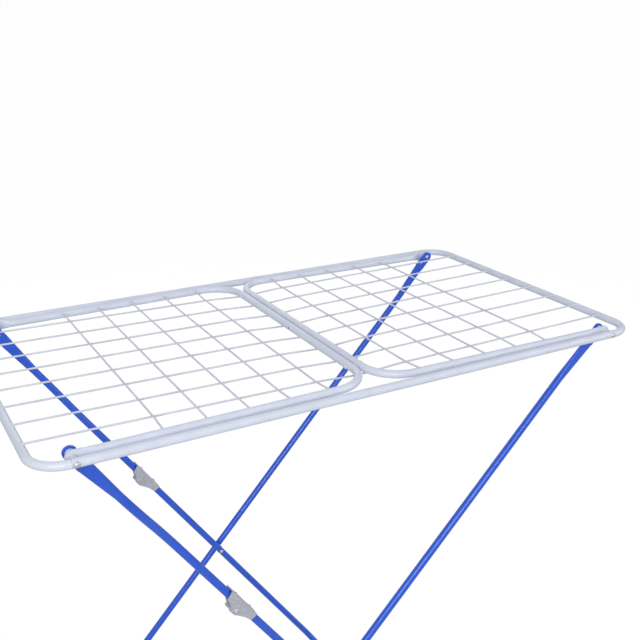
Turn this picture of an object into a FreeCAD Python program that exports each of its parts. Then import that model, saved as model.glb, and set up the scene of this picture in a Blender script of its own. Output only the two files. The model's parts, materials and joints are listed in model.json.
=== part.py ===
# Folding wire-top laundry table: a white tube ring with a two-panel wire mesh, carried by
# two crossed blue leg frames.  The left leg frame has a knee joint so that the stand folds flat.
#
# Frame: millimetres, Z up, floor at Z = 0, origin under the middle of the table.
# X runs along the table, Y from the front rail (-) to the back rail (+).
# Leg pieces are modelled along their own leg (x from the top pivot down the leg, y across the
# table, z square to the leg) and are turned into place by their Placement.
import FreeCAD, Part
import os

import Sketcher
from FreeCAD import Placement, Rotation, Vector

SIZES = [
    # name, value in mm or degrees, what it is
    ("ring_height", 922.0, "height of the ring tubes' axes above the floor"),
    ("tube_od", 13.0, "outside diameter of the ring, panel and leg tubes"),
    ("tube_wall", 1.0, "wall of those tubes"),
    ("rail_od", 13.6, "outside diameter of the two long rails, which take the end frames' spigots"),
    ("rail_wall", 1.0, "wall of the long rails"),
    ("rail_y", 290.0, "half distance between the long rails' axes"),
    ("end_x", 523.0, "half distance between the end tubes' axes"),
    ("end_bend", 45.0, "bend radius at the ring's corners, on the tube axis"),
    ("spigot_length", 38.0, "length of the end frame inside the long rail"),
    ("spigot_play", 0.05, "radial play of the spigot in the rail"),
    ("seam", 0.3, "visible gap between rail end and end frame shoulder"),
    ("pivot_x", 470.0, "half distance between the left and right leg pivots"),
    ("seat_depth", 0.5, "depth of the flat seats pressed into the rails at the pivots"),
    ("seat_r", 6.4, "radius of those seats"),
    ("pivot_r", 2.95, "radius of the pivot rivets' shanks"),
    ("hole_r", 3.0, "radius of the holes that the pivot rivets and knee bolts run in"),
    ("pivot_head_r", 4.7, "radius of a pivot rivet's outer head"),
    ("pivot_dome", 2.8, "height of that head"),
    ("pivot_end_r", 3.9, "radius of a pivot rivet's formed inner end"),
    ("pivot_end", 1.6, "height of that end"),
    ("bush_r", 5.8, "radius of the spacers between rail and panel frame"),
    ("washer_r", 7.0, "radius of the spacers between panel frame and leg"),
    ("panel_y", 268.0, "half distance between the panel frames' side rails"),
    ("panel_rise", 4.0, "how far a panel frame climbs from its pivots to the middle"),
    ("panel_bend", 60.0, "bend radius at the panel frames' inner corners"),
    ("bar_x", 8.3, "half distance between the two centre bars"),
    ("tongue_width", 20.4, "width of a flattened tube end"),
    ("panel_tongue", 3.5, "thickness of a panel frame's flattened end"),
    ("panel_tongue_y", 273.0, "half distance between the panel frames' flattened ends"),
    ("panel_flat", 14.0, "flat length of such an end, measured from the pivot"),
    ("panel_swell", 20.0, "length over which it becomes round"),
    ("leg_y", 259.2, "half distance between the legs' flattened ends"),
    ("leg_tongue", 4.0, "thickness of a leg's flattened end"),
    ("leg_flat", 30.0, "flat length of that end, measured from the pivot"),
    ("leg_swell", 80.0, "length over which it becomes round"),
    ("face_gap", 0.05, "gap between faces that touch"),
    ("wire_r", 1.5, "radius of the mesh wires"),
    ("wire_pitch", 62.3, "spacing of the long wires"),
    ("wire_count", 8.0, "number of long wires"),
    ("wire_end_x", 521.0, "half length of the long wires"),
    ("wire_end_z", 6.4, "height of their ends above the end tubes' axes"),
    ("wire_dip_x", 70.0, "where the long wires start to dip under the centre bars"),
    ("wire_dip_z", -0.6, "their height there"),
    ("wire_flat_x", 12.0, "half length of their level piece under the centre bars"),
    ("cross_pitch", 65.1, "spacing of the cross wires"),
    ("cross_first", 82.7, "distance of the first cross wire from the middle"),
    ("cross_count", 5.0, "cross wires in each panel"),
    ("cross_bend_y", 226.0, "where a cross wire bends towards the side rail"),
    ("cross_end_y", 264.0, "where it ends, against the inner upper side of the rail"),
    ("cross_lift", 3.0, "height of that end above the rail's axis"),
    ("left_angle", 54.9, "slope of the left leg frame when the stand is open"),
    ("right_angle", 46.9, "slope of the right leg frame when the stand is open"),
    ("right_top_y", 254.0, "half width of the right leg frame at its top"),
    ("toe_in", 0.012, "how much the right leg frame narrows per unit of length"),
    ("left_top_y", 246.0, "half width of the left leg frame above its joggle"),
    ("left_y", 226.0, "half width of the left leg frame below its joggle"),
    ("joggle", 150.0, "length of that joggle"),
    ("foot_bend", 60.0, "bend radius of the leg frames at the feet"),
    ("foot_z", 8.5, "height of the foot bars' axes above the floor"),
    ("extra_hole_x", 20.0, "distance of the spare hole in a flattened leg end from the pivot"),
    ("extra_hole_r", 2.3, "radius of that hole"),
    ("knee_x", 428.8, "distance of the knee from the left pivot"),
    ("knee_drop", 9.8, "distance of the knee bolt below the tube axis"),
    ("knee_gap", 0.3, "half gap between the two halves at the knee"),
    ("knee_bolt_r", 2.95, "radius of the knee bolts"),
    ("knee_head_r", 4.8, "radius of their button heads"),
    ("knee_rim", 0.8, "height of a button head's rim"),
    ("knee_crown", 1.6, "height of its crown above the rim"),
    ("knee_tip", 4.0, "length of a knee bolt inside the inner cheek"),
    ("knee_nut_r", 5.2, "corner radius of the knee nuts"),
    ("knee_nut_height", 3.2, "height of the knee nuts"),
    ("sheet", 1.5, "sheet thickness of the knee brackets"),
    ("bracket_length", 37.0, "length of one bracket from the knee"),
    ("lobe_r", 7.0, "radius of the brackets around the knee bolt"),
    ("tab_r", 4.4, "radius of the stop tab on the lower bracket"),
    ("tab_x", 10.5, "distance of the stop tab from the knee bolt, back up the leg"),
    ("tab_z", 3.0, "distance of the stop tab below the knee bolt"),
    ("rivet_x", 20.0, "distance of a bracket rivet from the knee"),
    ("rivet_r", 2.0, "radius of the bracket rivets' shanks"),
    ("rivet_head_r", 4.0, "radius of their domed heads"),
    ("dome", 2.4, "height of a domed head"),
    ("scissor_r", 2.5, "radius of the scissor rivets' shanks"),
    ("scissor_head_r", 4.0, "radius of their domed heads"),
    ("spacer_r", 7.0, "radius of the spacer between the crossed legs"),
    ("spacer_out", 237.4, "outer face of that spacer, measured across the table"),
    ("cap_y", 130.0, "half distance between the foot caps of one frame"),
    ("cap_length", 36.0, "length of a foot cap"),
    ("cap_base", 15.0, "width of its flat base"),
    ("vent_r", 2.3, "radius of the vent holes in the panel frames"),
    ("vent_x", 27.0, "distance of the vent in a panel frame's side rail from the pivot"),
    ("bar_rivet_y", 197.0, "half distance between the two centre bar rivets"),
]

doc = FreeCAD.newDocument("FoldingWireTable")
sheet = doc.addObject("Spreadsheet::Sheet", "Sizes")
for row, (alias, value, meaning) in enumerate(SIZES, start=1):
    sheet.set(f"A{row}", meaning)
    sheet.set(f"B{row}", str(value))
    sheet.setAlias(f"B{row}", alias)
doc.recompute()

# Lengths that follow from the sizes, written as expressions on the sheet.
TUBE_R = "Sizes.tube_od / 2"
BORE_R = "Sizes.tube_od / 2 - Sizes.tube_wall"
RAIL_R = "Sizes.rail_od / 2"
RAIL_BORE_R = "Sizes.rail_od / 2 - Sizes.rail_wall"
SEAM_X = "(Sizes.end_x - Sizes.end_bend - 2)"
RAIL_SEAT = f"({RAIL_R} - Sizes.seat_depth)"
BAR_Z = "Sizes.panel_rise"
UNDER_BAR_Z = f"({BAR_Z} - {TUBE_R} - Sizes.wire_r - Sizes.face_gap)"
WIRE_SLOPE = "((Sizes.wire_end_z - Sizes.wire_dip_z) / (Sizes.wire_end_x - Sizes.wire_dip_x))"
COPE_R = f"({TUBE_R} + Sizes.face_gap)"
LEFT_LENGTH = "((Sizes.ring_height - Sizes.foot_z) / sin(Sizes.left_angle))"
RIGHT_LENGTH = "((Sizes.ring_height - Sizes.foot_z) / sin(Sizes.right_angle))"
SPAN = "(2 * Sizes.pivot_x)"
APEX = "sin(180 - Sizes.left_angle - Sizes.right_angle)"
LEFT_SCISSOR = f"({SPAN} * sin(Sizes.right_angle) / {APEX})"
RIGHT_SCISSOR = f"({SPAN} * sin(Sizes.left_angle) / {APEX})"
LEG_ROUND_X = "(Sizes.leg_flat + Sizes.leg_swell)"
BRACKET_IN = f"({TUBE_R} + 0.08)"
LOWER_OUT = f"({BRACKET_IN} + Sizes.sheet)"
UPPER_IN = f"({LOWER_OUT} + 0.1)"
UPPER_OUT = f"({UPPER_IN} + Sizes.sheet)"
FLANGE_Z = f"({BRACKET_IN} + Sizes.sheet)"
ACROSS = 800.0  # longer than any cut has to be, mm


def number(expression):
    """The present value of an expression on the sheet."""
    return float(sheet.evalExpression(expression))


def is_zero(expression):
    return expression == "0"


def new_body(label):
    body = doc.addObject("PartDesign::Body", label)
    body.Label = label
    return body


def base_plane(body, role):
    return [item for item in body.Origin.OriginFeatures if item.Role == role][0]


def new_sketch(body, name, plane, x="0", y="0", z="0"):
    """A sketch on a body's origin plane, moved by x, y, z in the body's own directions."""
    sketch = body.newObject("Sketcher::SketchObject", name)
    sketch.AttachmentSupport = [(base_plane(body, plane), "")]
    sketch.MapMode = "FlatFace"
    shift = {"XY_Plane": (x, y, z), "XZ_Plane": (x, z, f"-({y})"), "YZ_Plane": (y, z, x)}[plane]
    for axis, expression in zip("xyz", shift):
        if expression not in ("0", "-(0)"):
            sketch.setExpression(f"AttachmentOffset.Base.{axis}", expression)
    return sketch


def bind(sketch, index, expression):
    sketch.setExpression(f"Constraints[{index}]", expression)


def pin_point(sketch, geometry, end, u, v):
    """Fix one point of the sketch at (u, v)."""
    for kind, axis, expression in (("DistanceX", -2, u), ("DistanceY", -1, v)):
        if is_zero(expression):
            sketch.addConstraint(Sketcher.Constraint("PointOnObject", geometry, end, axis))
            continue
        constraint = Sketcher.Constraint(kind, -1, 1, geometry, end, number(expression))
        bind(sketch, sketch.addConstraint(constraint), expression)


def add_circle(sketch, u, v, radius):
    centre = Vector(number(u), number(v), 0)
    ring = sketch.addGeometry(Part.Circle(centre, Vector(0, 0, 1), number(radius)))
    pin_point(sketch, ring, 3, u, v)
    limit = Sketcher.Constraint("Radius", ring, number(radius))
    bind(sketch, sketch.addConstraint(limit), radius)


def arc_between(start, end, radius, side):
    """The short arc from start to end; it turns left for side +1 and right for side -1."""
    chord = end - start
    middle = (start + end) / 2
    height = max(radius ** 2 - (chord.Length / 2) ** 2, 0.0) ** 0.5
    square = Vector(-chord.y, chord.x, 0).normalize()
    centre = middle + square * (height * side)
    circle = Part.Circle(centre, Vector(0, 0, 1), radius)
    ends = (start, end) if side > 0 else (end, start)
    return Part.ArcOfCircle(circle, *(circle.parameter(point) for point in ends))


def add_outline(sketch, steps):
    """Lines and arcs through the points of steps.

    A step is (u, v) for a straight line to that point, or (u, v, radius, side) for an arc.
    The outline is closed when its last point is its first one.
    """
    first = steps[0][:2]
    closed = steps[-1][:2] == first
    here = Vector(number(first[0]), number(first[1]), 0)
    previous = None
    start_of_all = None
    for step in steps[1:]:
        there = Vector(number(step[0]), number(step[1]), 0)
        if len(step) == 2:
            piece = sketch.addGeometry(Part.LineSegment(here, there))
            begin, finish = 1, 2
        else:
            radius, side = step[2], step[3]
            piece = sketch.addGeometry(arc_between(here, there, number(radius), side))
            begin, finish = (1, 2) if side > 0 else (2, 1)
            limit = Sketcher.Constraint("Radius", piece, number(radius))
            bind(sketch, sketch.addConstraint(limit), radius)
        if previous is None:
            start_of_all = (piece, begin)
            pin_point(sketch, piece, begin, *first)
        else:
            sketch.addConstraint(Sketcher.Constraint("Coincident", *previous, piece, begin))
        if closed and step is steps[-1]:
            sketch.addConstraint(Sketcher.Constraint("Coincident", piece, finish, *start_of_all))
        else:
            pin_point(sketch, piece, finish, step[0], step[1])
        previous = (piece, finish)
        here = there


def finish_step(body, feature, grows):
    """Recompute and make sure the feature changed the body the way it should."""
    before = body.Shape.Volume if not body.Shape.isNull() else 0.0
    doc.recompute()
    change = feature.Shape.Volume - before
    if (change > 0) != grows or abs(change) < 1e-3:
        raise RuntimeError(f"{body.Label}: {feature.Name} changed the volume by {change:.3f}")
    return feature


def pad(body, sketch, length):
    """Extrude a sketch to both sides of its plane."""
    feature = body.newObject("PartDesign::Pad", f"{sketch.Name}_pad")
    feature.Profile = sketch
    feature.SideType = "Symmetric"
    feature.setExpression("Length", length)
    return finish_step(body, feature, True)


def cut(body, sketch, length):
    """Cut a sketch to both sides of its plane."""
    feature = body.newObject("PartDesign::Pocket", f"{sketch.Name}_cut")
    feature.Profile = sketch
    feature.SideType = "Symmetric"
    feature.setExpression("Length", length)
    return finish_step(body, feature, False)


def pipe(body, profile, path):
    feature = body.newObject("PartDesign::AdditivePipe", f"{path.Name}_pipe")
    feature.Profile = profile
    feature.Spine = (path, [])
    return finish_step(body, feature, True)


def turn(body, sketch):
    """Revolve a sketch once around its own vertical axis."""
    feature = body.newObject("PartDesign::Revolution", f"{sketch.Name}_turn")
    feature.Profile = sketch
    feature.ReferenceAxis = (sketch, ["V_Axis"])
    feature.Angle = 360.0
    return finish_step(body, feature, True)


def mirror(body, plane):
    """Repeat the whole body on the other side of one of its origin planes."""
    feature = body.newObject("PartDesign::Mirrored", f"{body.Name}_{plane[:2]}_mirror")
    feature.TransformMode = "Whole shape"
    feature.MirrorPlane = (base_plane(body, plane), [""])
    body.Tip = feature
    return finish_step(body, feature, True)


def drill(body, name, plane, radius, x="0", y="0", z="0", depth=f"{ACROSS}"):
    """A round hole square to a plane; it reaches half the depth to both sides."""
    sketch = new_sketch(body, name, plane, x, y, z)
    add_circle(sketch, "0", "0", radius)
    return cut(body, sketch, depth)


def ring_profile(body, name, x, y, outer, inner):
    sketch = new_sketch(body, name, "YZ_Plane", x, y)
    add_circle(sketch, "0", "0", outer)
    add_circle(sketch, "0", "0", inner)
    return sketch


def on_table(body, turned=0.0):
    """Stand a piece of the top at ring height, turned about the vertical."""
    body.Placement = Placement(Vector(), Rotation(Vector(0, 0, 1), turned))
    body.setExpression(".Placement.Base.z", "Sizes.ring_height")


def on_leg(body, side):
    """Turn a leg piece to its open slope: side -1 for the left frame, +1 for the right."""
    body.Placement = Placement(Vector(), Rotation(Vector(0, 1, 0), 1.0))
    slope = "Sizes.left_angle" if side < 0 else "180 - Sizes.right_angle"
    body.setExpression(".Placement.Rotation.Angle", slope)
    body.setExpression(".Placement.Base.x", f"{side} * Sizes.pivot_x")
    body.setExpression(".Placement.Base.z", "Sizes.ring_height")


def squashed(sketch, thickness):
    """Section of a tube pressed flat: straight sides and half round edges."""
    half = f"({thickness}) / 2"
    top = f"(Sizes.tongue_width / 2 - {half})"
    add_outline(sketch, [
        (half, f"-{top}"),
        (half, top),
        ("0", "Sizes.tongue_width / 2", half, 1),
        (f"-{half}", top, half, 1),
        (f"-{half}", f"-{top}"),
        ("0", "-Sizes.tongue_width / 2", half, 1),
        (half, f"-{top}", half, 1),
    ])


def round_section(sketch, radius):
    """A circle in six pieces that match the pieces of a squashed section."""
    u = f"{radius} * sin(27)"
    v = f"{radius} * cos(27)"
    add_outline(sketch, [
        (v, f"-{u}"),
        (v, u, radius, 1),
        ("0", radius, radius, 1),
        (f"-{v}", u, radius, 1),
        (f"-{v}", f"-{u}", radius, 1),
        ("0", f"-({radius})", radius, 1),
        (v, f"-{u}", radius, 1),
    ])


def tongue(body, y, thickness, flat, x_round, y_round):
    """A flattened tube end around the pivot, and the swell from it to the round tube."""
    plate = new_sketch(body, f"{body.Name}_tongue", "XZ_Plane", y=y)
    half = "Sizes.tongue_width / 2"
    add_outline(plate, [
        ("0", f"-{half}"),
        (flat, f"-{half}"),
        (flat, half),
        ("0", half),
        (f"-{half}", "0", half, 1),
        ("0", f"-{half}", half, 1),
    ])
    pad(body, plate, thickness)
    drill(body, f"{body.Name}_pivot_hole", "XZ_Plane", "Sizes.hole_r", y=y, depth="20")
    shapes = []
    for kind, x, across in (("flat", flat, y), ("round", x_round, y_round)):
        section = new_sketch(body, f"{body.Name}_{kind}_end", "YZ_Plane", x, across)
        if kind == "flat":
            squashed(section, thickness)
        else:
            round_section(section, TUBE_R)
        shapes.append(section)
    swell = body.newObject("PartDesign::AdditiveLoft", f"{body.Name}_swell")
    swell.Profile = shapes[0]
    swell.Sections = [shapes[1]]
    finish_step(body, swell, True)


# ---------------------------------------------------------------- ring

def end_frame(label, turned):
    """U-shaped end of the ring; a reduced spigot at each end goes into a long rail."""
    body = new_body(label)
    path = new_sketch(body, f"{label}_path", "XY_Plane")
    bend_x = "Sizes.end_x - Sizes.end_bend"
    add_outline(path, [
        (SEAM_X, "Sizes.rail_y"),
        (bend_x, "Sizes.rail_y"),
        ("Sizes.end_x", "Sizes.rail_y - Sizes.end_bend", "Sizes.end_bend", -1),
        ("Sizes.end_x", "0"),
    ])
    tube = ring_profile(body, f"{label}_tube", SEAM_X, "Sizes.rail_y", TUBE_R, BORE_R)
    pipe(body, tube, path)
    spigot_r = f"{RAIL_BORE_R} - Sizes.spigot_play"
    middle = f"{SEAM_X} - Sizes.spigot_length / 2 + 0.5"
    spigot = ring_profile(body, f"{label}_spigot", middle, "Sizes.rail_y", spigot_r,
                          f"{spigot_r} - Sizes.tube_wall")
    pad(body, spigot, "Sizes.spigot_length + 1")
    drill(body, f"{label}_bolt_hole", "XZ_Plane", "Sizes.hole_r",
          x="Sizes.pivot_x", y="Sizes.rail_y", depth="40")
    mirror(body, "XZ_Plane")
    on_table(body, turned)


def outer_rail(label, side):
    """Long rail with flat seats and through holes for the two pivot bolts."""
    body = new_body(label)
    y = f"{side} * Sizes.rail_y"
    tube = ring_profile(body, f"{label}_tube", "0", y, RAIL_R, RAIL_BORE_R)
    pad(body, tube, f"2 * ({SEAM_X} - Sizes.seam)")
    for end in (-1, 1):
        x = f"{end} * Sizes.pivot_x"
        name = f"{label}_{'left' if end < 0 else 'right'}"
        drill(body, f"{name}_hole", "XZ_Plane", "Sizes.hole_r", x=x, y=y, depth="40")
        for face in (-1, 1):
            middle = f"{y} + {face} * ({RAIL_SEAT} + 2)"
            drill(body, f"{name}_seat_{'in' if face == side else 'out'}", "XZ_Plane",
                  "Sizes.seat_r", x=x, y=middle, depth="4")
    on_table(body)


# ---------------------------------------------------------------- panels

def inner_frame(label, side):
    """Panel frame: a U-tube from its two pivots to the centre bar, which it ends in."""
    body = new_body(label)
    reach = "(Sizes.pivot_x - Sizes.bar_x)"
    start = "Sizes.panel_flat + Sizes.panel_swell"
    tongue(body, "Sizes.panel_tongue_y", "Sizes.panel_tongue", "Sizes.panel_flat", start,
           "Sizes.panel_y")
    path = new_sketch(body, f"{label}_path", "XY_Plane")
    add_outline(path, [
        (start, "Sizes.panel_y"),
        (f"{reach} - Sizes.panel_bend", "Sizes.panel_y"),
        (reach, "Sizes.panel_y - Sizes.panel_bend", "Sizes.panel_bend", -1),
        (reach, "0"),
    ])
    pipe(body, ring_profile(body, f"{label}_tube", start, "Sizes.panel_y", TUBE_R, BORE_R), path)
    drill(body, f"{label}_vent", "XZ_Plane", "Sizes.vent_r", x="Sizes.vent_x",
          y="Sizes.panel_y - 7", depth="8")
    drill(body, f"{label}_rivet_hole", "YZ_Plane", "Sizes.rivet_r + 0.05",
          x=reach, y="Sizes.bar_rivet_y", depth="16")
    mirror(body, "XZ_Plane")
    if side < 0:
        drill(body, f"{label}_drain", "YZ_Plane", "Sizes.vent_r", x=f"{reach} - 6", depth="8")
    # Both frames climb towards the middle; the right one is the same piece turned round.
    climb = Rotation(Vector(0, 1, 0), -number(f"asin(Sizes.panel_rise / {reach})"))
    about = Rotation(Vector(0, 0, 1), 0 if side < 0 else 180)
    body.Placement = Placement(Vector(), about.multiply(climb))
    body.setExpression(".Placement.Base.x", f"{side} * Sizes.pivot_x")
    body.setExpression(".Placement.Base.z", "Sizes.ring_height")


def long_wires(label):
    """Wires that end on the shoulders of the end tubes and dip under the centre bars."""
    body = new_body(label)
    half_row = "Sizes.wire_pitch * (Sizes.wire_count - 1) / 2"
    path = new_sketch(body, f"{label}_path", "XZ_Plane", y=f"-{half_row}")
    add_outline(path, [
        ("0", UNDER_BAR_Z),
        ("Sizes.wire_flat_x", UNDER_BAR_Z),
        ("Sizes.wire_dip_x", "Sizes.wire_dip_z"),
        ("Sizes.wire_end_x", "Sizes.wire_end_z"),
    ])
    section = new_sketch(body, f"{label}_section", "YZ_Plane", "0", f"-{half_row}", UNDER_BAR_Z)
    add_circle(section, "0", "0", "Sizes.wire_r")
    wire = pipe(body, section, path)
    wire.Transition = "Right corner"
    doc.recompute()
    drill(body, f"{label}_end", "XZ_Plane", COPE_R, x="Sizes.end_x", y=f"-{half_row}", depth="10")
    mirror(body, "YZ_Plane")
    row = body.newObject("PartDesign::LinearPattern", f"{label}_row")
    row.TransformMode = "Whole shape"
    row.Direction = (base_plane(body, "Y_Axis"), [""])
    row.setExpression("Length", f"2 * {half_row}")
    row.setExpression("Occurrences", "Sizes.wire_count")
    body.Tip = row
    finish_step(body, row, True)
    on_table(body)


def cross_wires(label, side):
    """Wires across one panel: on the long wires, their ends against the side rails."""
    body = new_body(label)
    reach = "(Sizes.pivot_x - Sizes.bar_x)"
    for index in range(int(number("Sizes.cross_count"))):
        x = f"(Sizes.cross_first + {index} * Sizes.cross_pitch)"
        under = f"(Sizes.wire_dip_z + {WIRE_SLOPE} * ({x} - Sizes.wire_dip_x))"
        low = f"({under} + 2 * Sizes.wire_r + 2 * Sizes.face_gap)"
        rail = f"(Sizes.panel_rise * (Sizes.pivot_x - {x}) / {reach})"
        path = new_sketch(body, f"{label}_path_{index}", "YZ_Plane", f"{side} * {x}")
        add_outline(path, [
            ("0", low),
            ("Sizes.cross_bend_y", low),
            ("Sizes.cross_end_y", f"{rail} + Sizes.cross_lift"),
        ])
        section = new_sketch(body, f"{label}_section_{index}", "XZ_Plane", f"{side} * {x}", "0", low)
        add_circle(section, "0", "0", "Sizes.wire_r")
        wire = pipe(body, section, path)
        wire.Transition = "Right corner"
        doc.recompute()
        drill(body, f"{label}_end_{index}", "YZ_Plane", COPE_R, x=f"{side} * {x}",
              y="Sizes.panel_y", z=rail, depth="10")
    mirror(body, "XZ_Plane")
    on_table(body)


def centre_bar_rivets(label):
    """Rivets through both centre bars, near the places where the bars part."""
    body = new_body(label)
    sketch = new_sketch(body, f"{label}_half", "XY_Plane", y="Sizes.bar_rivet_y",
                        z="Sizes.panel_rise")
    face = f"(Sizes.bar_x + {TUBE_R} + Sizes.face_gap)"
    crown = f"(Sizes.rivet_head_r^2 + Sizes.dome^2) / (2 * Sizes.dome)"
    add_outline(sketch, [
        ("0", "0"),
        (f"{face} + Sizes.dome", "0"),
        (face, "Sizes.rivet_head_r", crown, 1),
        (face, "Sizes.rivet_r"),
        ("0", "Sizes.rivet_r"),
        ("0", "0"),
    ])
    feature = body.newObject("PartDesign::Revolution", f"{label}_turn")
    feature.Profile = sketch
    feature.ReferenceAxis = (sketch, ["H_Axis"])
    feature.Angle = 360.0
    finish_step(body, feature, True)
    mirror(body, "YZ_Plane")
    mirror(body, "XZ_Plane")
    on_table(body)


# ---------------------------------------------------------------- leg pivots

RAIL_OUT_Y = f"(Sizes.rail_y + {RAIL_SEAT} + Sizes.face_gap)"
RAIL_IN_Y = f"(Sizes.rail_y - {RAIL_SEAT} - Sizes.face_gap)"
PANEL_OUT_Y = "(Sizes.panel_tongue_y + Sizes.panel_tongue / 2 + Sizes.face_gap)"
PANEL_IN_Y = "(Sizes.panel_tongue_y - Sizes.panel_tongue / 2 - Sizes.face_gap)"
LEG_OUT_Y = "(Sizes.leg_y + Sizes.leg_tongue / 2 + Sizes.face_gap)"
LEG_IN_Y = "(Sizes.leg_y - Sizes.leg_tongue / 2 - Sizes.face_gap)"


def hexagon(sketch, radius):
    """Regular hexagon with two corners left and right."""
    corners = []
    for index in range(7):
        angle = 60 * (index % 6)
        corners.append((f"({radius}) * cos({angle})", f"({radius}) * sin({angle})"))
    add_outline(sketch, corners)


def collar(body, name, y_low, y_high, outer, inner):
    """A ring around the right back pivot, between two distances from the table's middle."""
    sketch = new_sketch(body, name, "XZ_Plane", x="Sizes.pivot_x", y=f"({y_low} + {y_high}) / 2")
    add_circle(sketch, "0", "0", outer)
    add_circle(sketch, "0", "0", inner)
    pad(body, sketch, f"{y_high} - {y_low}")


def at_four_pivots(body):
    mirror(body, "XZ_Plane")
    mirror(body, "YZ_Plane")
    on_table(body)


def pivot_rivets(label):
    """Rivets with a domed head outside the rails and a formed end inside the legs."""
    body = new_body(label)
    sketch = new_sketch(body, f"{label}_half", "XY_Plane", x="Sizes.pivot_x")
    crown = "(Sizes.pivot_head_r^2 + Sizes.pivot_dome^2) / (2 * Sizes.pivot_dome)"
    curl = "(Sizes.pivot_end_r^2 + Sizes.pivot_end^2) / (2 * Sizes.pivot_end)"
    add_outline(sketch, [
        ("0", f"{LEG_IN_Y} - Sizes.pivot_end"),
        ("Sizes.pivot_end_r", LEG_IN_Y, curl, 1),
        ("Sizes.pivot_r", LEG_IN_Y),
        ("Sizes.pivot_r", RAIL_OUT_Y),
        ("Sizes.pivot_head_r", RAIL_OUT_Y),
        ("0", f"{RAIL_OUT_Y} + Sizes.pivot_dome", crown, 1),
        ("0", f"{LEG_IN_Y} - Sizes.pivot_end"),
    ])
    turn(body, sketch)
    at_four_pivots(body)


def pivot_bushes(label):
    body = new_body(label)
    collar(body, f"{label}_ring", PANEL_OUT_Y, RAIL_IN_Y, "Sizes.bush_r", "Sizes.hole_r")
    at_four_pivots(body)


def pivot_washers(label):
    body = new_body(label)
    collar(body, f"{label}_ring", LEG_OUT_Y, PANEL_IN_Y, "Sizes.washer_r", "Sizes.hole_r")
    at_four_pivots(body)


# ---------------------------------------------------------------- legs

def right_leg_frame(label):
    """Outer leg frame: one tube, two legs that toe in slightly, and a foot bar."""
    body = new_body(label)
    tongue(body, "Sizes.leg_y", "Sizes.leg_tongue", "Sizes.leg_flat", LEG_ROUND_X,
           "Sizes.right_top_y")
    lean = "atan(Sizes.toe_in)"
    bend_x = f"({RIGHT_LENGTH} - Sizes.foot_bend * (1 - sin({lean})))"
    bend_y = f"(Sizes.right_top_y - Sizes.toe_in * ({bend_x} - {LEG_ROUND_X}))"
    path = new_sketch(body, f"{label}_path", "XY_Plane")
    add_outline(path, [
        (LEG_ROUND_X, "Sizes.right_top_y"),
        (bend_x, bend_y),
        (RIGHT_LENGTH, f"{bend_y} - Sizes.foot_bend * cos({lean})", "Sizes.foot_bend", -1),
        (RIGHT_LENGTH, "0"),
    ])
    tube = ring_profile(body, f"{label}_tube", LEG_ROUND_X, "Sizes.right_top_y", TUBE_R, BORE_R)
    pipe(body, tube, path)
    drill(body, f"{label}_spare_hole", "XZ_Plane", "Sizes.extra_hole_r", x="Sizes.extra_hole_x",
          y="Sizes.leg_y", depth="20")
    drill(body, f"{label}_scissor_hole", "XZ_Plane", "Sizes.scissor_r + 0.05",
          x=RIGHT_SCISSOR, y="Sizes.right_top_y", depth="60")
    mirror(body, "XZ_Plane")
    on_leg(body, 1)


def left_upper_leg(label, side):
    """Upper half of a left leg: joggled inwards below its flattened end, cut off at the knee."""
    body = new_body(label)
    y = f"{side} * Sizes.left_y"
    top_y = f"{side} * Sizes.left_top_y"
    tongue(body, f"{side} * Sizes.leg_y", "Sizes.leg_tongue", "Sizes.leg_flat", LEG_ROUND_X, top_y)
    step_y = "(Sizes.left_top_y - Sizes.left_y)"
    radius = f"((Sizes.joggle^2 + {step_y}^2) / (4 * {step_y}))"
    start = f"({LEG_ROUND_X} + 2)"
    path = new_sketch(body, f"{label}_path", "XY_Plane")
    add_outline(path, [
        (LEG_ROUND_X, top_y),
        (start, top_y),
        (f"{start} + Sizes.joggle / 2", f"({y} + {top_y}) / 2", radius, -side),
        (f"{start} + Sizes.joggle", y, radius, side),
        ("Sizes.knee_x - Sizes.knee_gap", y),
    ])
    pipe(body, ring_profile(body, f"{label}_tube", LEG_ROUND_X, top_y, TUBE_R, BORE_R), path)
    drill(body, f"{label}_spare_hole", "XZ_Plane", "Sizes.extra_hole_r", x="Sizes.extra_hole_x",
          y=f"{side} * Sizes.leg_y", depth="20")
    drill(body, f"{label}_rivet_hole", "XY_Plane", "Sizes.rivet_r + 0.05",
          x="Sizes.knee_x - Sizes.rivet_x", y=y, depth="20")
    on_leg(body, -1)


def left_lower_leg_frame(label):
    """Lower half of the left frame: two legs below the knees and the foot bar between them."""
    body = new_body(label)
    start = "Sizes.knee_x + Sizes.knee_gap"
    path = new_sketch(body, f"{label}_path", "XY_Plane")
    add_outline(path, [
        (start, "Sizes.left_y"),
        (f"{LEFT_LENGTH} - Sizes.foot_bend", "Sizes.left_y"),
        (LEFT_LENGTH, "Sizes.left_y - Sizes.foot_bend", "Sizes.foot_bend", -1),
        (LEFT_LENGTH, "0"),
    ])
    pipe(body, ring_profile(body, f"{label}_tube", start, "Sizes.left_y", TUBE_R, BORE_R), path)
    drill(body, f"{label}_rivet_hole", "XY_Plane", "Sizes.rivet_r + 0.05",
          x="Sizes.knee_x + Sizes.rivet_x", y="Sizes.left_y", depth="20")
    drill(body, f"{label}_scissor_hole", "XZ_Plane", "Sizes.scissor_r + 0.05",
          x=LEFT_SCISSOR, y="Sizes.left_y", depth="30")
    mirror(body, "XZ_Plane")
    on_leg(body, -1)


# ---------------------------------------------------------------- knee brackets

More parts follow.
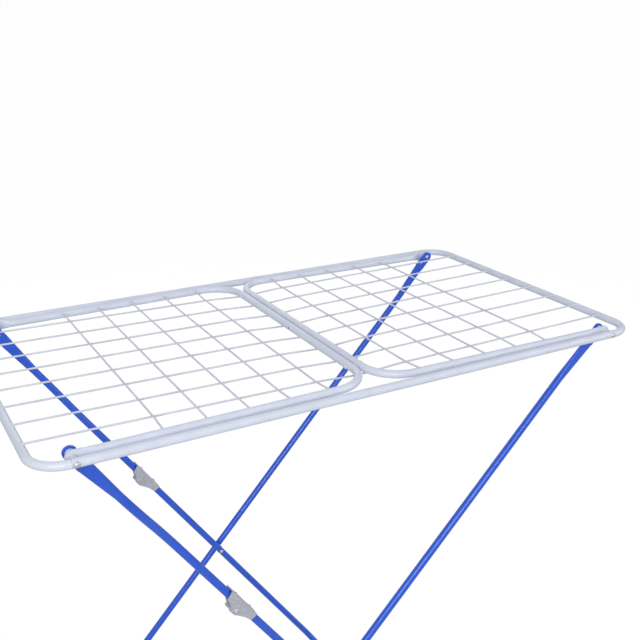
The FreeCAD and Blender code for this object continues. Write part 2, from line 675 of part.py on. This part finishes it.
def channel(body, side, outline, half_in, half_out, tab=False):
    """Sheet bent over the tube: a top flange and two equal cheeks with the given outline."""
    label = body.Name
    y = f"{side} * Sizes.left_y"
    block = new_sketch(body, f"{label}_cheek", "XZ_Plane", y=y)
    add_outline(block, outline)
    pad(body, block, f"2 * {half_out}")
    if tab:
        ear = new_sketch(body, f"{label}_tab", "XZ_Plane", x="Sizes.knee_x - Sizes.tab_x", y=y,
                         z="-Sizes.knee_drop - Sizes.tab_z")
        neck = "Sizes.tab_x"
        add_outline(ear, [
            ("0", "-Sizes.tab_r"),
            (neck, "-Sizes.tab_r"),
            (neck, "Sizes.tab_r"),
            ("0", "Sizes.tab_r"),
            ("-Sizes.tab_r", "0", "Sizes.tab_r", 1),
            ("0", "-Sizes.tab_r", "Sizes.tab_r", 1),
        ])
        pad(body, ear, f"2 * {half_out}")
    room = new_sketch(body, f"{label}_room", "YZ_Plane", x="Sizes.knee_x", y=y)
    add_outline(room, [
        (f"-{half_in}", "-40"),
        (half_in, "-40"),
        (half_in, BRACKET_IN),
        (f"-{half_in}", BRACKET_IN),
        (f"-{half_in}", "-40"),
    ])
    cut(body, room, "160")
    drill(body, f"{label}_bolt_hole", "XZ_Plane", "Sizes.hole_r", x="Sizes.knee_x", y=y,
          z="-Sizes.knee_drop", depth="40")


def knee_bracket_upper(label, side):
    """Outer channel, riveted to the upper leg; its cheeks carry the knee bolt."""
    body = new_body(label)
    far = "Sizes.knee_x - Sizes.bracket_length"
    near = "Sizes.knee_x - Sizes.knee_gap"
    pin = "-Sizes.knee_drop"
    channel(body, side, [
        (far, FLANGE_Z),
        (f"{far} + 7", f"-{TUBE_R} - 0.5"),
        (f"{far} + 13", f"-{TUBE_R} - 0.9"),
        ("Sizes.knee_x - 3", f"{pin} - sqrt(Sizes.lobe_r^2 - 9)"),
        ("Sizes.knee_x", f"{pin} - Sizes.lobe_r", "Sizes.lobe_r", 1),
        ("Sizes.knee_x + Sizes.lobe_r", pin, "Sizes.lobe_r", 1),
        ("Sizes.knee_x", f"{pin} + Sizes.lobe_r", "Sizes.lobe_r", 1),
        (near, f"{pin} + Sizes.lobe_r"),
        (near, FLANGE_Z),
        (far, FLANGE_Z),
    ], UPPER_IN, UPPER_OUT)
    drill(body, f"{label}_rivet_hole", "XY_Plane", "Sizes.rivet_r + 0.05",
          x="Sizes.knee_x - Sizes.rivet_x", y=f"{side} * Sizes.left_y", z=BRACKET_IN, depth="6")
    on_leg(body, -1)


def knee_bracket_lower(label, side):
    """Inner channel, riveted to the lower leg, with a stop tab behind the knee bolt."""
    body = new_body(label)
    far = "Sizes.knee_x + Sizes.bracket_length"
    near = "Sizes.knee_x + Sizes.knee_gap"
    pin = "-Sizes.knee_drop"
    channel(body, side, [
        (near, FLANGE_Z),
        (near, f"{pin} + Sizes.lobe_r"),
        ("Sizes.knee_x", f"{pin} + Sizes.lobe_r"),
        ("Sizes.knee_x - Sizes.lobe_r", pin, "Sizes.lobe_r", 1),
        ("Sizes.knee_x", f"{pin} - Sizes.lobe_r", "Sizes.lobe_r", 1),
        ("Sizes.knee_x + 3", f"{pin} - sqrt(Sizes.lobe_r^2 - 9)", "Sizes.lobe_r", 1),
        (f"{far} - 14", f"-{TUBE_R} - 1.5"),
        (f"{far} - 5", f"-{TUBE_R} + 0.5"),
        (far, f"-{TUBE_R} + 5.5", "5", 1),
        (far, FLANGE_Z),
        (near, FLANGE_Z),
    ], BRACKET_IN, LOWER_OUT, tab=True)
    drill(body, f"{label}_rivet_hole", "XY_Plane", "Sizes.rivet_r + 0.05",
          x="Sizes.knee_x + Sizes.rivet_x", y=f"{side} * Sizes.left_y", z=BRACKET_IN, depth="6")
    on_leg(body, -1)


def knee_rivets(label, side):
    """Domed rivets through bracket and tube, one in each left leg."""
    body = new_body(label)
    sketch = new_sketch(body, f"{label}_half", "XZ_Plane",
                        x=f"Sizes.knee_x + {side} * Sizes.rivet_x", y="Sizes.left_y")
    top = f"({FLANGE_Z} + Sizes.face_gap)"
    low = f"(-{TUBE_R} - Sizes.face_gap)"
    crown = "(Sizes.rivet_head_r^2 + Sizes.dome^2) / (2 * Sizes.dome)"
    add_outline(sketch, [
        ("0", f"{low} - 1.4"),
        ("3", f"{low} - 1.4"),
        ("3", low),
        ("Sizes.rivet_r", low),
        ("Sizes.rivet_r", top),
        ("Sizes.rivet_head_r", top),
        ("0", f"{top} + Sizes.dome", crown, 1),
        ("0", f"{low} - 1.4"),
    ])
    turn(body, sketch)
    mirror(body, "XZ_Plane")
    on_leg(body, -1)


def knee_bolts(label):
    """Button-headed bolts through the brackets' cheeks, below the tubes."""
    body = new_body(label)
    sketch = new_sketch(body, f"{label}_half", "XY_Plane", x="Sizes.knee_x", y="Sizes.left_y",
                        z="-Sizes.knee_drop")
    head = f"({UPPER_OUT} + Sizes.face_gap)"
    tip = f"-{head} - Sizes.knee_tip"
    crown = "(Sizes.knee_head_r^2 + Sizes.knee_crown^2) / (2 * Sizes.knee_crown)"
    add_outline(sketch, [
        ("0", tip),
        ("Sizes.knee_bolt_r", tip),
        ("Sizes.knee_bolt_r", head),
        ("Sizes.knee_head_r", head),
        ("Sizes.knee_head_r", f"{head} + Sizes.knee_rim"),
        ("0", f"{head} + Sizes.knee_rim + Sizes.knee_crown", crown, 1),
        ("0", tip),
    ])
    turn(body, sketch)
    mirror(body, "XZ_Plane")
    on_leg(body, -1)


def knee_nuts(label):
    body = new_body(label)
    y = f"(Sizes.left_y - {UPPER_OUT} - Sizes.face_gap - Sizes.knee_nut_height / 2)"
    sketch = new_sketch(body, f"{label}_hexagon", "XZ_Plane", x="Sizes.knee_x", y=y,
                        z="-Sizes.knee_drop")
    hexagon(sketch, "Sizes.knee_nut_r")
    add_circle(sketch, "0", "0", "Sizes.hole_r")
    pad(body, sketch, "Sizes.knee_nut_height")
    mirror(body, "XZ_Plane")
    on_leg(body, -1)


# ---------------------------------------------------------------- scissor pivots

def y_rivet(body, x, face, end, direction):
    """A domed rivet along y: its head stands on face and its shank runs to end."""
    label = body.Name
    sketch = new_sketch(body, f"{label}_half", "XY_Plane", x=x)
    crown = "(Sizes.scissor_head_r^2 + Sizes.dome^2) / (2 * Sizes.dome)"
    add_outline(sketch, [
        ("0", end),
        ("Sizes.scissor_r", end),
        ("Sizes.scissor_r", face),
        ("Sizes.scissor_head_r", face),
        ("0", f"{face} + {direction} * Sizes.dome", crown, direction),
        ("0", end),
    ])
    turn(body, sketch)
    mirror(body, "XZ_Plane")


def scissor_rivets_inner(label):
    """Rivets in the left frame, with the shank reaching through the spacer."""
    body = new_body(label)
    face = f"(Sizes.left_y - {TUBE_R} - Sizes.face_gap)"
    y_rivet(body, LEFT_SCISSOR, face, "Sizes.spacer_out", -1)
    on_leg(body, -1)


def scissor_rivets_outer(label):
    """Rivets in the right frame, coaxial with the inner ones when the stand is open."""
    body = new_body(label)
    middle = f"(Sizes.right_top_y - Sizes.toe_in * ({RIGHT_SCISSOR} - {LEG_ROUND_X}))"
    y_rivet(body, RIGHT_SCISSOR, f"({middle} + {TUBE_R} + 0.1)", f"({middle} - {TUBE_R} - 0.1)", 1)
    on_leg(body, 1)


def scissor_spacers(label):
    body = new_body(label)
    inner = f"(Sizes.left_y + {TUBE_R} + Sizes.face_gap)"
    sketch = new_sketch(body, f"{label}_ring", "XZ_Plane", x=LEFT_SCISSOR,
                        y=f"({inner} + Sizes.spacer_out) / 2")
    add_circle(sketch, "0", "0", "Sizes.spacer_r")
    add_circle(sketch, "0", "0", "Sizes.scissor_r + 0.05")
    pad(body, sketch, f"Sizes.spacer_out - {inner}")
    mirror(body, "XZ_Plane")
    on_leg(body, -1)


# ---------------------------------------------------------------- feet

def foot_caps(label, side):
    """Sleeves on a foot bar, each with a flat base that stands on the floor."""
    body = new_body(label)
    length, slope = (LEFT_LENGTH, "Sizes.left_angle") if side < 0 else (RIGHT_LENGTH, "Sizes.right_angle")
    x = f"({-side} * ({length} * cos({slope}) - Sizes.pivot_x))"
    shell = new_sketch(body, f"{label}_sleeve", "XZ_Plane", x=x, y="Sizes.cap_y", z="Sizes.foot_z")
    add_circle(shell, "0", "0", "Sizes.foot_z - 0.2")
    pad(body, shell, "Sizes.cap_length")
    base = new_sketch(body, f"{label}_base", "XZ_Plane", x=x, y="Sizes.cap_y")
    half = "Sizes.cap_base / 2"
    add_outline(base, [
        (f"-{half}", "0"),
        (half, "0"),
        (half, "Sizes.foot_z"),
        (f"-{half}", "Sizes.foot_z"),
        (f"-{half}", "0"),
    ])
    pad(body, base, "Sizes.cap_length")
    drill(body, f"{label}_bore", "XZ_Plane", f"{TUBE_R} + Sizes.face_gap", x=x, y="Sizes.cap_y",
          z="Sizes.foot_z", depth="Sizes.cap_length + 4")
    mirror(body, "XZ_Plane")


end_frame("end_frame_left", 180.0)
end_frame("end_frame_right", 0.0)
outer_rail("outer_rail_front", -1)
outer_rail("outer_rail_back", 1)
inner_frame("inner_frame_left", -1)
inner_frame("inner_frame_right", 1)
long_wires("long_wires")
cross_wires("cross_wires_left", -1)
cross_wires("cross_wires_right", 1)
centre_bar_rivets("centre_bar_rivets")
pivot_rivets("pivot_rivets")
pivot_bushes("pivot_bushes")
pivot_washers("pivot_washers")
right_leg_frame("right_leg_frame")
left_upper_leg("left_upper_leg_front", -1)
left_upper_leg("left_upper_leg_back", 1)
left_lower_leg_frame("left_lower_leg_frame")
for place, side in (("front", -1), ("back", 1)):
    knee_bracket_upper(f"knee_bracket_upper_{place}", side)
    knee_bracket_lower(f"knee_bracket_lower_{place}", side)
knee_rivets("knee_rivets_upper", -1)
knee_rivets("knee_rivets_lower", 1)
knee_bolts("knee_bolts")
knee_nuts("knee_nuts")
scissor_rivets_inner("scissor_rivets_inner")
scissor_rivets_outer("scissor_rivets_outer")
scissor_spacers("scissor_spacers")
foot_caps("foot_caps_left", -1)
foot_caps("foot_caps_right", 1)

doc.recompute()
for item in doc.Objects:
    if "Invalid" in item.State or "Error" in item.State:
        raise RuntimeError(f"{item.Label} did not compute: {item.State}")
bodies = [item for item in doc.Objects if item.TypeId == "PartDesign::Body"]
os.makedirs("parts", exist_ok=True)
for body in bodies:
    if body.Shape.isNull() or not body.Shape.isValid():
        raise RuntimeError(f"{body.Label} has no valid shape")
    body.Shape.exportStep(f"parts/{body.Label}.step")
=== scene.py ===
# Looks for the folding wire-top laundry table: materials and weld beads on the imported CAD
# frame, over a plain pale floor.  Metres, Z up, floor at Z = 0.
import json
import math

import bmesh
import bpy
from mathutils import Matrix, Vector, noise


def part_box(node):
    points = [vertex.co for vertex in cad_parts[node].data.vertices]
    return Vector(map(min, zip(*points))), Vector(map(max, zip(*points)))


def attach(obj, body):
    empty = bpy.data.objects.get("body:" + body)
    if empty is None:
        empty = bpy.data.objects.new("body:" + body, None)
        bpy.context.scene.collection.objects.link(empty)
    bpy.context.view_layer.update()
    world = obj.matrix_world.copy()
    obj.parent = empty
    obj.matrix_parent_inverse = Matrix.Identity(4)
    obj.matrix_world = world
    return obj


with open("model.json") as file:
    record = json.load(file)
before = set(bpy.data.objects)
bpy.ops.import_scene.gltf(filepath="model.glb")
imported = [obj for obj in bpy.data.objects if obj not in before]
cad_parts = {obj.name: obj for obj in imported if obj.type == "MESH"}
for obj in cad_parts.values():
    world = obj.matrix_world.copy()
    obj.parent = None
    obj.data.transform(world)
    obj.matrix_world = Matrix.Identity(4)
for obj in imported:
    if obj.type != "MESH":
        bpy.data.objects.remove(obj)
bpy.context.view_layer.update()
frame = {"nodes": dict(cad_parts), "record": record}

MM = 0.001
NODES = frame["nodes"]

# Sockets of a Mix node in colour mode
MIX_SHARE = 0
MIX_FIRST = 6
MIX_SECOND = 7
MIX_RESULT = 2


# ---------------------------------------------------------------- materials

def new_material(name):
    """An empty node material with its Principled shader wired to the output."""
    material = bpy.data.materials.new(name)
    material.use_nodes = True
    tree = material.node_tree
    tree.nodes.clear()
    output = tree.nodes.new("ShaderNodeOutputMaterial")
    shader = tree.nodes.new("ShaderNodeBsdfPrincipled")
    tree.links.new(shader.outputs["BSDF"], output.inputs["Surface"])
    return material, tree, shader


def object_coordinates(tree):
    return tree.nodes.new("ShaderNodeTexCoord").outputs["Object"]


def noise_node(tree, vector, scale, detail=3.0, roughness=0.55, distortion=0.0):
    node = tree.nodes.new("ShaderNodeTexNoise")
    node.inputs["Scale"].default_value = scale
    node.inputs["Detail"].default_value = detail
    node.inputs["Roughness"].default_value = roughness
    node.inputs["Distortion"].default_value = distortion
    tree.links.new(vector, node.inputs["Vector"])
    return node.outputs["Fac"]


def remap(tree, value, low, high, new_low, new_high):
    node = tree.nodes.new("ShaderNodeMapRange")
    node.inputs["From Min"].default_value = low
    node.inputs["From Max"].default_value = high
    node.inputs["To Min"].default_value = new_low
    node.inputs["To Max"].default_value = new_high
    tree.links.new(value, node.inputs["Value"])
    return node.outputs["Result"]


def ramp(tree, value, stops):
    """Colour ramp; stops are (position, (r, g, b))."""
    node = tree.nodes.new("ShaderNodeValToRGB")
    elements = node.color_ramp.elements
    while len(elements) < len(stops):
        elements.new(0.5)
    for element, (position, colour) in zip(elements, stops):
        element.position = position
        element.color = (*colour, 1.0)
    tree.links.new(value, node.inputs["Fac"])
    return node.outputs["Color"]


def mix_colour(tree, share, first, second):
    """Blend from the colour socket `first` to the fixed colour `second`."""
    node = tree.nodes.new("ShaderNodeMix")
    node.data_type = "RGBA"
    tree.links.new(share, node.inputs[MIX_SHARE])
    tree.links.new(first, node.inputs[MIX_FIRST])
    node.inputs[MIX_SECOND].default_value = (*second, 1.0)
    return node.outputs[MIX_RESULT]


def add_bump(tree, shader, height, strength, distance, normal):
    node = tree.nodes.new("ShaderNodeBump")
    node.inputs["Strength"].default_value = strength
    node.inputs["Distance"].default_value = distance
    tree.links.new(height, node.inputs["Height"])
    tree.links.new(normal, node.inputs["Normal"])
    tree.links.new(node.outputs["Normal"], shader.inputs["Normal"])


def soft_edges(tree, radius):
    """Normals that round sharp edges of the given radius when shading."""
    node = tree.nodes.new("ShaderNodeBevel")
    node.samples = 4
    node.inputs["Radius"].default_value = radius
    return node.outputs["Normal"]


def powder_coat(name, pale, deep, roughness, peel, coat=0.0, chips=None):
    """Powder coat: orange peel, faint clouding of the colour, and worn spots where asked."""
    material, tree, shader = new_material(name)
    place = object_coordinates(tree)
    cloud = noise_node(tree, place, 26.0, detail=4.0)
    colour = ramp(tree, cloud, [(0.35, deep), (0.68, pale)])
    speck = noise_node(tree, place, 900.0, detail=2.0)
    grains = remap(tree, speck, 0.30, 0.75, 0.94, 1.03)
    shade = tree.nodes.new("ShaderNodeHueSaturation")
    tree.links.new(colour, shade.inputs["Color"])
    tree.links.new(grains, shade.inputs["Value"])
    result = shade.outputs["Color"]
    smear = noise_node(tree, place, 55.0, detail=5.0, roughness=0.65, distortion=0.6)
    gloss = remap(tree, smear, 0.3, 0.75, roughness * 0.8, roughness * 1.35)
    if chips is not None:
        spots = noise_node(tree, place, 240.0, detail=3.0, roughness=0.7)
        worn = remap(tree, spots, 0.715, 0.735, 0.0, 1.0)
        result = mix_colour(tree, worn, result, chips)
    tree.links.new(result, shader.inputs["Base Color"])
    tree.links.new(gloss, shader.inputs["Roughness"])
    shader.inputs["Specular IOR Level"].default_value = 0.5
    shader.inputs["Coat Weight"].default_value = coat
    shader.inputs["Coat Roughness"].default_value = 0.08
    ripple = noise_node(tree, place, 420.0, detail=1.5)
    add_bump(tree, shader, ripple, peel, 0.0006, soft_edges(tree, 0.0004))
    return material


def zinc_plate(name):
    """Bright zinc: faint crystal blotches, fine rolling lines and dull smears."""
    material, tree, shader = new_material(name)
    place = object_coordinates(tree)
    crystal = tree.nodes.new("ShaderNodeTexVoronoi")
    crystal.inputs["Scale"].default_value = 260.0
    crystal.inputs["Randomness"].default_value = 1.0
    tree.links.new(place, crystal.inputs["Vector"])
    blotch = noise_node(tree, place, 140.0, detail=4.0, roughness=0.6)
    tint = ramp(tree, blotch, [(0.32, (0.58, 0.585, 0.64)), (0.55, (0.66, 0.67, 0.72)),
                               (0.74, (0.74, 0.74, 0.78))])
    crystals = remap(tree, crystal.outputs["Distance"], 0.0, 0.9, 0.96, 1.03)
    shade = tree.nodes.new("ShaderNodeHueSaturation")
    tree.links.new(tint, shade.inputs["Color"])
    tree.links.new(crystals, shade.inputs["Value"])
    tree.links.new(shade.outputs["Color"], shader.inputs["Base Color"])
    shader.inputs["Metallic"].default_value = 0.7
    smear = noise_node(tree, place, 320.0, detail=5.0, roughness=0.7)
    tree.links.new(remap(tree, smear, 0.3, 0.7, 0.36, 0.48), shader.inputs["Roughness"])
    stretch = tree.nodes.new("ShaderNodeMapping")
    stretch.inputs["Scale"].default_value = (0.12, 1.0, 0.12)
    tree.links.new(place, stretch.inputs["Vector"])
    lines = noise_node(tree, stretch.outputs["Vector"], 2600.0, detail=2.0)
    add_bump(tree, shader, lines, 0.16, 0.0003, soft_edges(tree, 0.0005))
    return material


def moulded_plastic(name, pale, deep, roughness, grain):
    """Moulded plastic with a fine spark-eroded grain."""
    material, tree, shader = new_material(name)
    place = object_coordinates(tree)
    cloud = noise_node(tree, place, 60.0, detail=3.0)
    tree.links.new(ramp(tree, cloud, [(0.3, deep), (0.7, pale)]), shader.inputs["Base Color"])
    rub = noise_node(tree, place, 180.0, detail=4.0, roughness=0.7)
    tree.links.new(remap(tree, rub, 0.3, 0.75, roughness * 0.85, roughness * 1.25),
                   shader.inputs["Roughness"])
    texture = noise_node(tree, place, 2400.0, detail=2.0)
    add_bump(tree, shader, texture, grain, 0.0002, soft_edges(tree, 0.0005))
    return material


MATERIALS = {
    "white_coat": powder_coat("white_coat", (0.76, 0.80, 0.91), (0.70, 0.74, 0.86), 0.30, 0.10,
                              coat=0.25),
    "wire_coat": powder_coat("wire_coat", (0.76, 0.77, 0.85), (0.64, 0.65, 0.73), 0.34, 0.14),
    "blue_coat": powder_coat("blue_coat", (0.018, 0.112, 0.74), (0.014, 0.098, 0.66), 0.24, 0.03,
                             coat=0.30, chips=(0.05, 0.13, 0.50)),
    "zinc": zinc_plate("zinc"),
    "white_plastic": moulded_plastic("white_plastic", (0.74, 0.77, 0.84), (0.66, 0.69, 0.77),
                                     0.45, 0.25),
    "grey_plastic": moulded_plastic("grey_plastic", (0.055, 0.057, 0.063), (0.035, 0.036, 0.04),
                                    0.5, 0.35),
}


def paint(item, slot):
    """Give a piece or a CAD node the material of a slot."""
    item.data.materials.clear()
    item.data.materials.append(MATERIALS[slot])


for part in frame["record"]["subparts"]:
    paint(NODES[part["node"]], part["material_slot"])


# ---------------------------------------------------------------- weld beads

WIRE_R = 1.5 * MM
TUBE_R = 6.5 * MM
LONG_COUNT = 8
LONG_END_X = 521 * MM
LONG_END_Z = 6.4 * MM
BAR_X = 8.3 * MM
CROSS_COUNT = 5
SIDE_RAIL_Y = 268 * MM
ABOVE_ALL = 2.0
BELOW_TOP = 0.5
BEAD_WOBBLE = 0.16


def spread(low, high, count):
    return [low + (high - low) * index / (count - 1) for index in range(count)]


def surface_height(node, x, y):
    """Height of the top of a CAD node at (x, y), or None where it isn't."""
    hit, place, _, _ = NODES[node].ray_cast(Vector((x, y, ABOVE_ALL)), Vector((0, 0, -1)))
    return place.z if hit else None


def surface_under(node, x, y):
    """Height of the underside of a CAD node at (x, y), or None where it isn't."""
    hit, place, _, _ = NODES[node].ray_cast(Vector((x, y, BELOW_TOP)), Vector((0, 0, 1)))
    return place.z if hit else None


def add_bead(mesh, centre, size, seed):
    """One uneven drop of weld metal with the given half sizes."""
    drop = bmesh.ops.create_icosphere(mesh, subdivisions=2, radius=1.0)["verts"]
    for vertex in drop:
        wobble = 1.0 + BEAD_WOBBLE * noise.noise(vertex.co * 1.7 + Vector((seed, seed * 0.37, 0)))
        vertex.co = Vector(centre) + Vector(s * c * wobble for s, c in zip(size, vertex.co))


def make_piece(name, mesh, slot, body):
    data = bpy.data.meshes.new(name)
    mesh.to_mesh(data)
    mesh.free()
    data.shade_smooth()
    piece = bpy.data.objects.new(name, data)
    bpy.context.scene.collection.objects.link(piece)
    paint(piece, slot)
    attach(piece, body)
    return piece


def wire_rows():
    low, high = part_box("long_wires")
    return spread(low.y + WIRE_R, high.y - WIRE_R, LONG_COUNT)


def cross_columns():
    columns = []
    for node in ("cross_wires_left", "cross_wires_right"):
        low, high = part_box(node)
        for x in spread(low.x + WIRE_R, high.x - WIRE_R, CROSS_COUNT):
            columns.append((node, x))
    return columns


def build_mesh_welds():
    """Spot welds where the wires cross."""
    mesh = bmesh.new()
    for index, (node, x) in enumerate(cross_columns()):
        for row, y in enumerate(wire_rows()):
            top = surface_height(node, x, y)
            centre = (x, y, top - 2 * WIRE_R)
            add_bead(mesh, centre, (1.9 * MM, 1.9 * MM, 0.9 * MM), index * 11 + row)
    make_piece("mesh_welds", mesh, "wire_coat", "table")


def weld_long_ends(mesh, side, row, y):
    """Beads of one long wire: at its end on the end tube and under the centre bar."""
    tube_low, tube_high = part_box("end_frame_left")
    shoulder_z = (tube_low.z + tube_high.z) / 2 + LONG_END_Z - 0.7 * MM
    bar = "inner_frame_left" if side < 0 else "inner_frame_right"
    under = surface_under(bar, side * BAR_X, y)
    for flank in (-1, 1):
        end = (side * (LONG_END_X - 0.8 * MM), y + flank * 1.6 * MM, shoulder_z)
        add_bead(mesh, end, (3.0 * MM, 1.2 * MM, 1.1 * MM), row * 5 + side + flank)
        middle = (side * BAR_X, y + flank * 1.6 * MM, under - 0.5 * MM)
        add_bead(mesh, middle, (2.8 * MM, 1.3 * MM, 0.9 * MM), row * 7 + side - flank)


def weld_cross_ends(mesh, index, x):
    """Beads at both ends of one cross wire, on the inner shoulders of the side rails."""
    rail = "inner_frame_left" if x < 0 else "inner_frame_right"
    for side in (-1, 1):
        axis_z = surface_height(rail, x, side * SIDE_RAIL_Y) - TUBE_R
        for flank in (-1, 1):
            place = (x + flank * 1.5 * MM, side * (SIDE_RAIL_Y - 6.2 * MM), axis_z + 3.0 * MM)
            add_bead(mesh, place, (1.2 * MM, 1.7 * MM, 1.5 * MM), index * 3 + side + flank)


def build_end_welds():
    """Weld beads that hold the wires on the end tubes, centre bars and side rails."""
    mesh = bmesh.new()
    for row, y in enumerate(wire_rows()):
        for side in (-1, 1):
            weld_long_ends(mesh, side, row, y)
    for index, (_, x) in enumerate(cross_columns()):
        weld_cross_ends(mesh, index, x)
    make_piece("end_welds", mesh, "white_coat", "table")


build_mesh_welds()
build_end_welds()


# ---------------------------------------------------------------- stage, light and camera

def camera_switch(tree, seen, felt):
    """Shader that shows `seen` to the camera and lights the scene as `felt`."""
    path = tree.nodes.new("ShaderNodeLightPath")
    switch = tree.nodes.new("ShaderNodeMixShader")
    tree.links.new(path.outputs["Is Camera Ray"], switch.inputs["Fac"])
    tree.links.new(felt, switch.inputs[1])
    tree.links.new(seen, switch.inputs[2])
    return switch.outputs["Shader"]


def build_floor():
    """Pale floor that looks almost white, with only a faint soft shadow."""
    bpy.ops.mesh.primitive_plane_add(size=900.0, location=(0, 0, -0.0005))
    floor = bpy.context.object
    floor.name = "floor"
    material = bpy.data.materials.new("pale_floor")
    material.use_nodes = True
    tree = material.node_tree
    tree.nodes.clear()
    output = tree.nodes.new("ShaderNodeOutputMaterial")
    matte = tree.nodes.new("ShaderNodeBsdfDiffuse")
    matte.inputs["Color"].default_value = (0.62, 0.62, 0.62, 1)
    glow = tree.nodes.new("ShaderNodeEmission")
    glow.inputs["Strength"].default_value = 1.15
    blend = tree.nodes.new("ShaderNodeMixShader")
    blend.inputs["Fac"].default_value = 0.8
    tree.links.new(matte.outputs["BSDF"], blend.inputs[1])
    tree.links.new(glow.outputs["Emission"], blend.inputs[2])
    shade = camera_switch(tree, blend.outputs["Shader"], matte.outputs["BSDF"])
    tree.links.new(shade, output.inputs["Surface"])
    floor.data.materials.append(material)


def add_area_light(name, place, target, size, power):
    data = bpy.data.lights.new(name, "AREA")
    data.shape = "RECTANGLE"
    data.size, data.size_y = size
    data.energy = power
    light = bpy.data.objects.new(name, data)
    light.location = place
    aim = Vector(target) - Vector(place)
    light.rotation_euler = aim.to_track_quat("-Z", "Y").to_euler()
    bpy.context.scene.collection.objects.link(light)


def build_world():
    """Even, slightly cool studio light; the camera sees plain white behind the floor."""
    world = bpy.data.worlds.new("studio")
    world.use_nodes = True
    tree = world.node_tree
    tree.nodes.clear()
    output = tree.nodes.new("ShaderNodeOutputWorld")
    seen = tree.nodes.new("ShaderNodeBackground")
    seen.inputs["Color"].default_value = (1, 1, 1, 1)
    felt = tree.nodes.new("ShaderNodeBackground")
    felt.inputs["Color"].default_value = (0.95, 0.97, 1.0, 1)
    felt.inputs["Strength"].default_value = 0.56
    shade = camera_switch(tree, seen.outputs["Background"], felt.outputs["Background"])
    tree.links.new(shade, output.inputs["Surface"])
    bpy.context.scene.world = world


def build_lights():
    middle = (0, 0, 0.6)
    add_area_light("key", (-1.7, -2.7, 2.1), middle, (2.4, 1.6), 50.0)
    add_area_light("fill", (2.6, -1.8, 1.8), middle, (2.0, 2.0), 16.0)
    add_area_light("rim", (0.5, 3.0, 2.0), middle, (3.0, 1.2), 10.0)


def build_camera():
    """Camera at the photograph's viewing angle."""
    data = bpy.data.cameras.new("camera")
    data.sensor_width = 36.0
    data.lens = 51.3
    camera = bpy.data.objects.new("camera", data)
    camera.location = (-0.7047, -1.3351, 1.4962)
    camera.rotation_euler = (math.radians(69.719), math.radians(-0.230), math.radians(-29.389))
    bpy.context.scene.collection.objects.link(camera)
    bpy.context.scene.camera = camera


build_floor()
build_world()
build_lights()
build_camera()
bpy.context.scene.view_settings.view_transform = "Standard"
